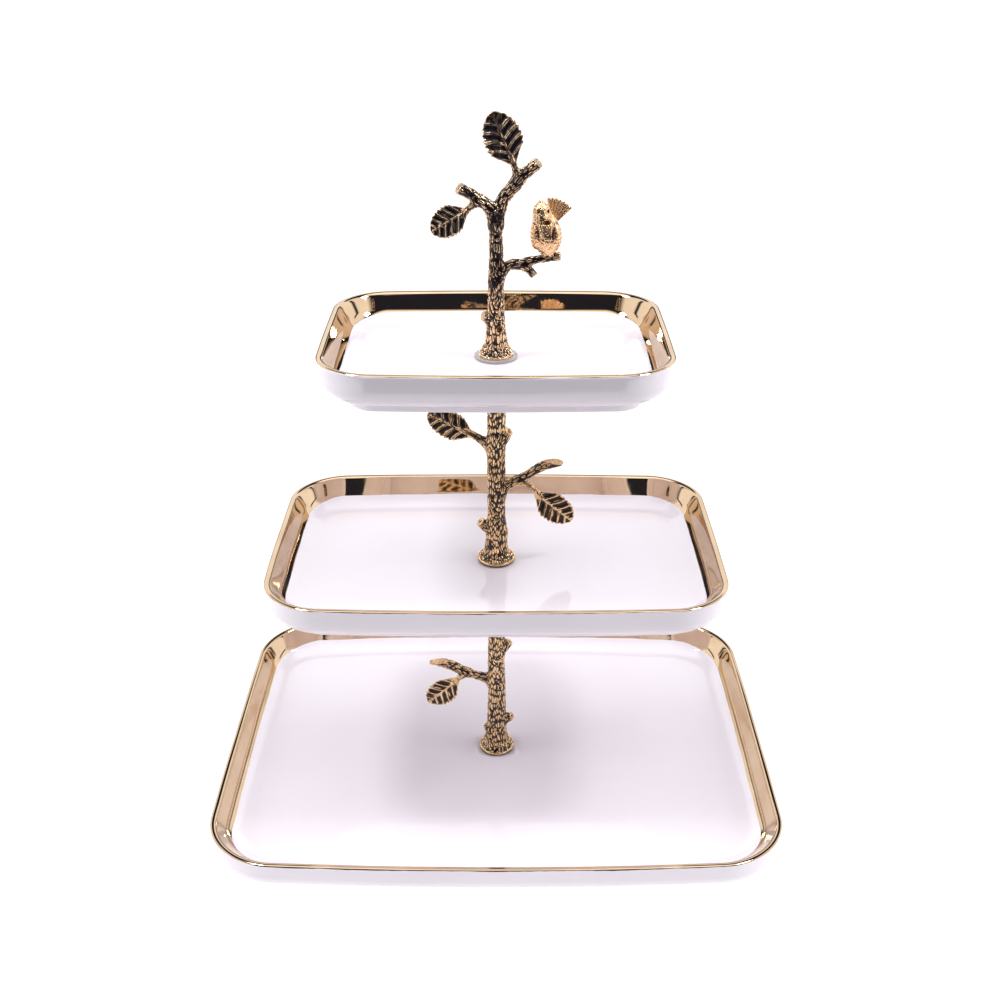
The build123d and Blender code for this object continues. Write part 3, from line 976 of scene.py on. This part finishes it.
def tapered(p, start, end, start_radius, end_radius):
    """Distance to a round rod whose radius runs evenly from start to end."""
    span = np.array(end, float) - start
    t = np.clip((p - start) @ span / (span @ span), 0, 1)
    return length(p - start - t[:, None] * span) - (start_radius + t * (end_radius - start_radius))


class Bird:
    """A small bird with a peaked crest, folded wings and a fanned tail held up behind it."""

    body = Limb((28.6, 0.6, 359.6, 4.2), (28.4, 0.2, 362.4, 6.4), (27.9, 0, 366.4, 8.2),
                (27.2, 0, 370.6, 8.0), (26.0, -0.6, 375.4, 6.2), (25.0, -1.2, 379.6, 5.1),
                (24.8, -1.4, 380.8, 4.9))
    crest = ((24.4, -1.2, 382.6), (24.2, -0.4, 387.2))
    beak = ((26.2, -5.2, 379.8), (28.0, -7.6, 378.4))
    eyes = ((23.0, -5.7, 381.9), (28.5, -4.3, 381.7))
    eye_radius, socket_radius = 0.6, 0.85
    wings = (((32.6, -2.2, 367.4), (3.4, 5.6, 7.2)), ((21.6, -1.4, 367.6), (2.9, 5.8, 7.4)))
    throat = (27.6, -6.2, 375.8)
    feet, toes = (26.2, 30.6), (-0.9, 0, 0.9)
    tail_root = np.array([29.6, 3.4, 369.8])
    tail_length, tail_spread = 16.8, 0.50
    feathers = 7

    def __init__(self):
        forward = unit(0.34, 0.30, 0.88)
        across = unit(*np.cross(unit(0.28, -0.94, 0.2), forward))
        self.tail_axes = np.stack([forward, across, np.cross(forward, across)])

    def tail(self, p):
        u, v, w = ((p - self.tail_root) @ self.tail_axes.T).T
        reach = np.hypot(u, v)
        fan = np.arctan2(v, u)
        feather = np.abs(np.cos(fan / self.tail_spread * self.feathers * math.pi / 2))
        edge = self.tail_length * (0.94 + 0.06 * feather ** 0.6)
        side = (np.abs(fan) - self.tail_spread) * np.minimum(reach, self.tail_length)
        thick = 0.8 + 0.6 * feather * smooth_step(3, 8, reach)
        flat = np.abs(w - 0.012 * v ** 2) - thick
        return blend_cut(flat, np.maximum.reduce([reach - edge, side, -u - 3]), 0.6), feather

    def field(self, p):
        d = self.body.field(p)
        d = blend_union(d, tapered(p, *self.crest, 3.2, 0.5), 1.6)
        d = blend_union(d, self.tail(p)[0], 1.4)
        for centre, radii in self.wings:
            d = blend_union(d, ellipsoid(p, centre, radii), 1.1)
        d = blend_union(d, tapered(p, *self.beak, 1.4, 0.35), 0.7)
        d = blend_cut(d, 1.0 - length((p - self.throat) / (2.0, 1.5, 0.7)), 1.0)
        for eye in self.eyes:
            d = blend_cut(d, self.socket_radius - length(p - eye), 0.3)
            d = np.minimum(d, length(p - eye) - self.eye_radius)
        for x in self.feet:
            for spread in self.toes:
                toe = tapered(p, (x, -1.0, 358.4), (x + spread, -2.6, 356.6), 1.0, 0.55)
                d = blend_union(d, toe, 0.4)
        return d

    def relief(self, p):
        """0 in eye rings and between feathers, low in painted shade under the beak and in wing
        creases.
        """
        height = 0.45 + 0.55 * bark(p / np.array([0.95, 0.95, 0.5]), seed=31)
        wings = np.full(len(p), 9.0)
        for centre, radii in self.wings:
            near = ellipsoid(p, centre, radii)
            wings = np.minimum(wings, near)
            scallop = np.abs(((p[:, 0] - p[:, 1]) * 0.45) % 1 - 0.5)
            row = (centre[2] + 6 - p[:, 2]) / 2.3 + 0.9 * scallop
            height = np.where(near < 0.3, 0.15 + 0.85 * (1 - row % 1) ** 0.7, height)
        # Painted shade in the creases round the wings, on the upper body only.
        height *= 1 - 0.75 * np.exp(-((wings - 0.8) / 0.5) ** 2) * smooth_step(362, 368, p[:, 2])
        tail, feather = self.tail(p)
        height = np.where(tail < 0.3, 0.42 + 0.58 * feather, height)
        # Painted shadow under the beak: the throat's relief is lowered, so it shows brown.
        shade = length((p - self.throat) / (3.0, 3.0, 1.5)) + 0.25 * noise(p / 1.2, 33)
        height *= 1 - 0.6 * smooth_step(1.3, 0.6, shade)
        for eye in self.eyes:
            height = np.where(length(p - eye) < self.socket_radius + 0.05, 0.05, height)
        return height


def bird():
    low, high = box_mm("bird")
    shape = Bird()
    points, normals, quads = solid_mesh(shape.field, low - 3, high + 3, BIRD_CELL)
    relief = shape.relief(points)
    points -= normals * ((1 - relief) * PLUMAGE_DEPTH)[:, None]
    make_piece("perched_bird", points, quads, BIRD_GOLD, "finial_body", "bright_gold", "bird",
               relief=relief)


bird()

# ---- stage, light and camera ----
FLOOR_WIDTH, FLOOR_DEPTH, FLOOR_CENTRE = 14, 10, (0, 4.42, 0)  # it ends in front of the stand
FLOOR_CORNERS = ((-0.5, -0.5), (0.5, -0.5), (0.5, 0.5), (-0.5, 0.5))
SOFTBOXES = {"softbox_left": -0.69, "softbox_right": 0.85}  # x of each
FILLS = {"fill_left": -1.45, "fill_right": 1.45}
SWEEP, PANELS, CEILING, ROOM = 1.0, 1.3, 1.8, 0.045  # strengths of the surroundings
SLATS = ((0.13, 0.46), (0.53, 0.80))  # lowest and highest z of the side panels, as directions
BACK_PANEL = (0.26, 0.60)
PANEL_EDGE = 0.03
CAMERA_ELEVATION = math.radians(28.24)
CAMERA_DISTANCE = 0.7343
CAMERA_TARGET = (0.0023, 0.0, 0.2029)


def area_light(name, location, target, size, power):
    light = bpy.data.lights.new(name, "AREA")
    light.size = size
    light.energy = power
    holder = add_object(name, light)
    holder.location = location
    holder.rotation_mode = "QUATERNION"
    holder.rotation_quaternion = (Vector(target) - Vector(location)).to_track_quat("-Z", "Y")
    return holder


def studio_world():
    """What glaze and gold mirror: a pale sweep, slatted sides, a back panel and a ceiling in a dark
    bluish room. The camera sees plain white."""
    world = bpy.data.worlds.new("studio")
    bpy.context.scene.world = world
    m = Nodes(world)
    axes = m.add("SeparateXYZ")
    m.link(m.add("TexCoord").outputs["Generated"], axes.inputs[0])
    x, y, z = axes.outputs

    def window(low, high):
        opened = m.remap(z, low - PANEL_EDGE, low + PANEL_EDGE, 0, 1)
        return m.math("MULTIPLY", opened, m.remap(z, high - PANEL_EDGE, high + PANEL_EDGE, 1, 0))

    sweep = m.math("MULTIPLY", m.remap(z, 0.04, 0.10, 1, 0), m.remap(y, -0.5, -0.2, 0, SWEEP))
    flank = m.remap(m.math("ABSOLUTE", x), 0.50, 0.66, 0, 1)
    slatted = m.math("MAXIMUM", window(*SLATS[0]), window(*SLATS[1]))
    sides = m.math("MULTIPLY", flank, slatted)
    back = m.math("MULTIPLY", m.remap(y, 0.25, 0.45, 0, 1), window(*BACK_PANEL))
    panels = m.math("MULTIPLY", m.math("MAXIMUM", sides, back), PANELS)
    ceiling = m.math("MULTIPLY", m.remap(z, 0.86, 0.93, 0, 1), CEILING)
    level = m.math("ADD", m.math("ADD", sweep, panels), m.math("ADD", ceiling, ROOM))
    background = m.tree.nodes["Background"]
    seen = m.add("LightPath").outputs["Is Camera Ray"]
    lit = m.math("MAXIMUM", m.remap(level, ROOM, 0.3, 0, 1), seen)
    m.link(m.mix(lit, (0.55, 0.60, 1.0), (1.0, 1.0, 1.0)), background.inputs["Color"])
    m.link(m.math("MAXIMUM", seen, level), background.inputs["Strength"])


floor = Nodes(bpy.data.materials.new("pale_floor"))
floor.set(Base_Color=(0.35, 0.345, 0.35, 1), Roughness=0.9, Emission_Color=(1, 0.98, 1, 1),
          Emission_Strength=0.84)
floor_mesh = bpy.data.meshes.new("floor")
floor_mesh.from_pydata([(x * FLOOR_WIDTH, y * FLOOR_DEPTH, 0) for x, y in FLOOR_CORNERS], [],
                       [(0, 1, 2, 3)])
floor_mesh.materials.append(floor.owner)
plane = add_object("floor", floor_mesh)
plane.location = FLOOR_CENTRE

studio_world()
for light_name, light_x in SOFTBOXES.items():
    area_light(light_name, (light_x, -0.13, 1.47), (0, 0, 0.2), size=0.26, power=6.9)
# The fills lift the shade under the trays, and nothing mirrors them.
for light_name, light_x in FILLS.items():
    fill = area_light(light_name, (light_x, -0.15, 0.60), (0, 0, 0.05), size=0.7, power=4.6)
    fill.visible_glossy = False

camera = bpy.data.cameras.new("camera")
camera.lens = 43.2
camera.sensor_width = 36.0
viewer = add_object("camera", camera)
viewer.location = (CAMERA_TARGET[0], -math.cos(CAMERA_ELEVATION) * CAMERA_DISTANCE,
                   CAMERA_TARGET[2] + math.sin(CAMERA_ELEVATION) * CAMERA_DISTANCE)
viewer.rotation_euler = (math.pi / 2 - CAMERA_ELEVATION, 0, 0)
bpy.context.scene.camera = viewer
bpy.context.scene.view_settings.view_transform = "Standard"
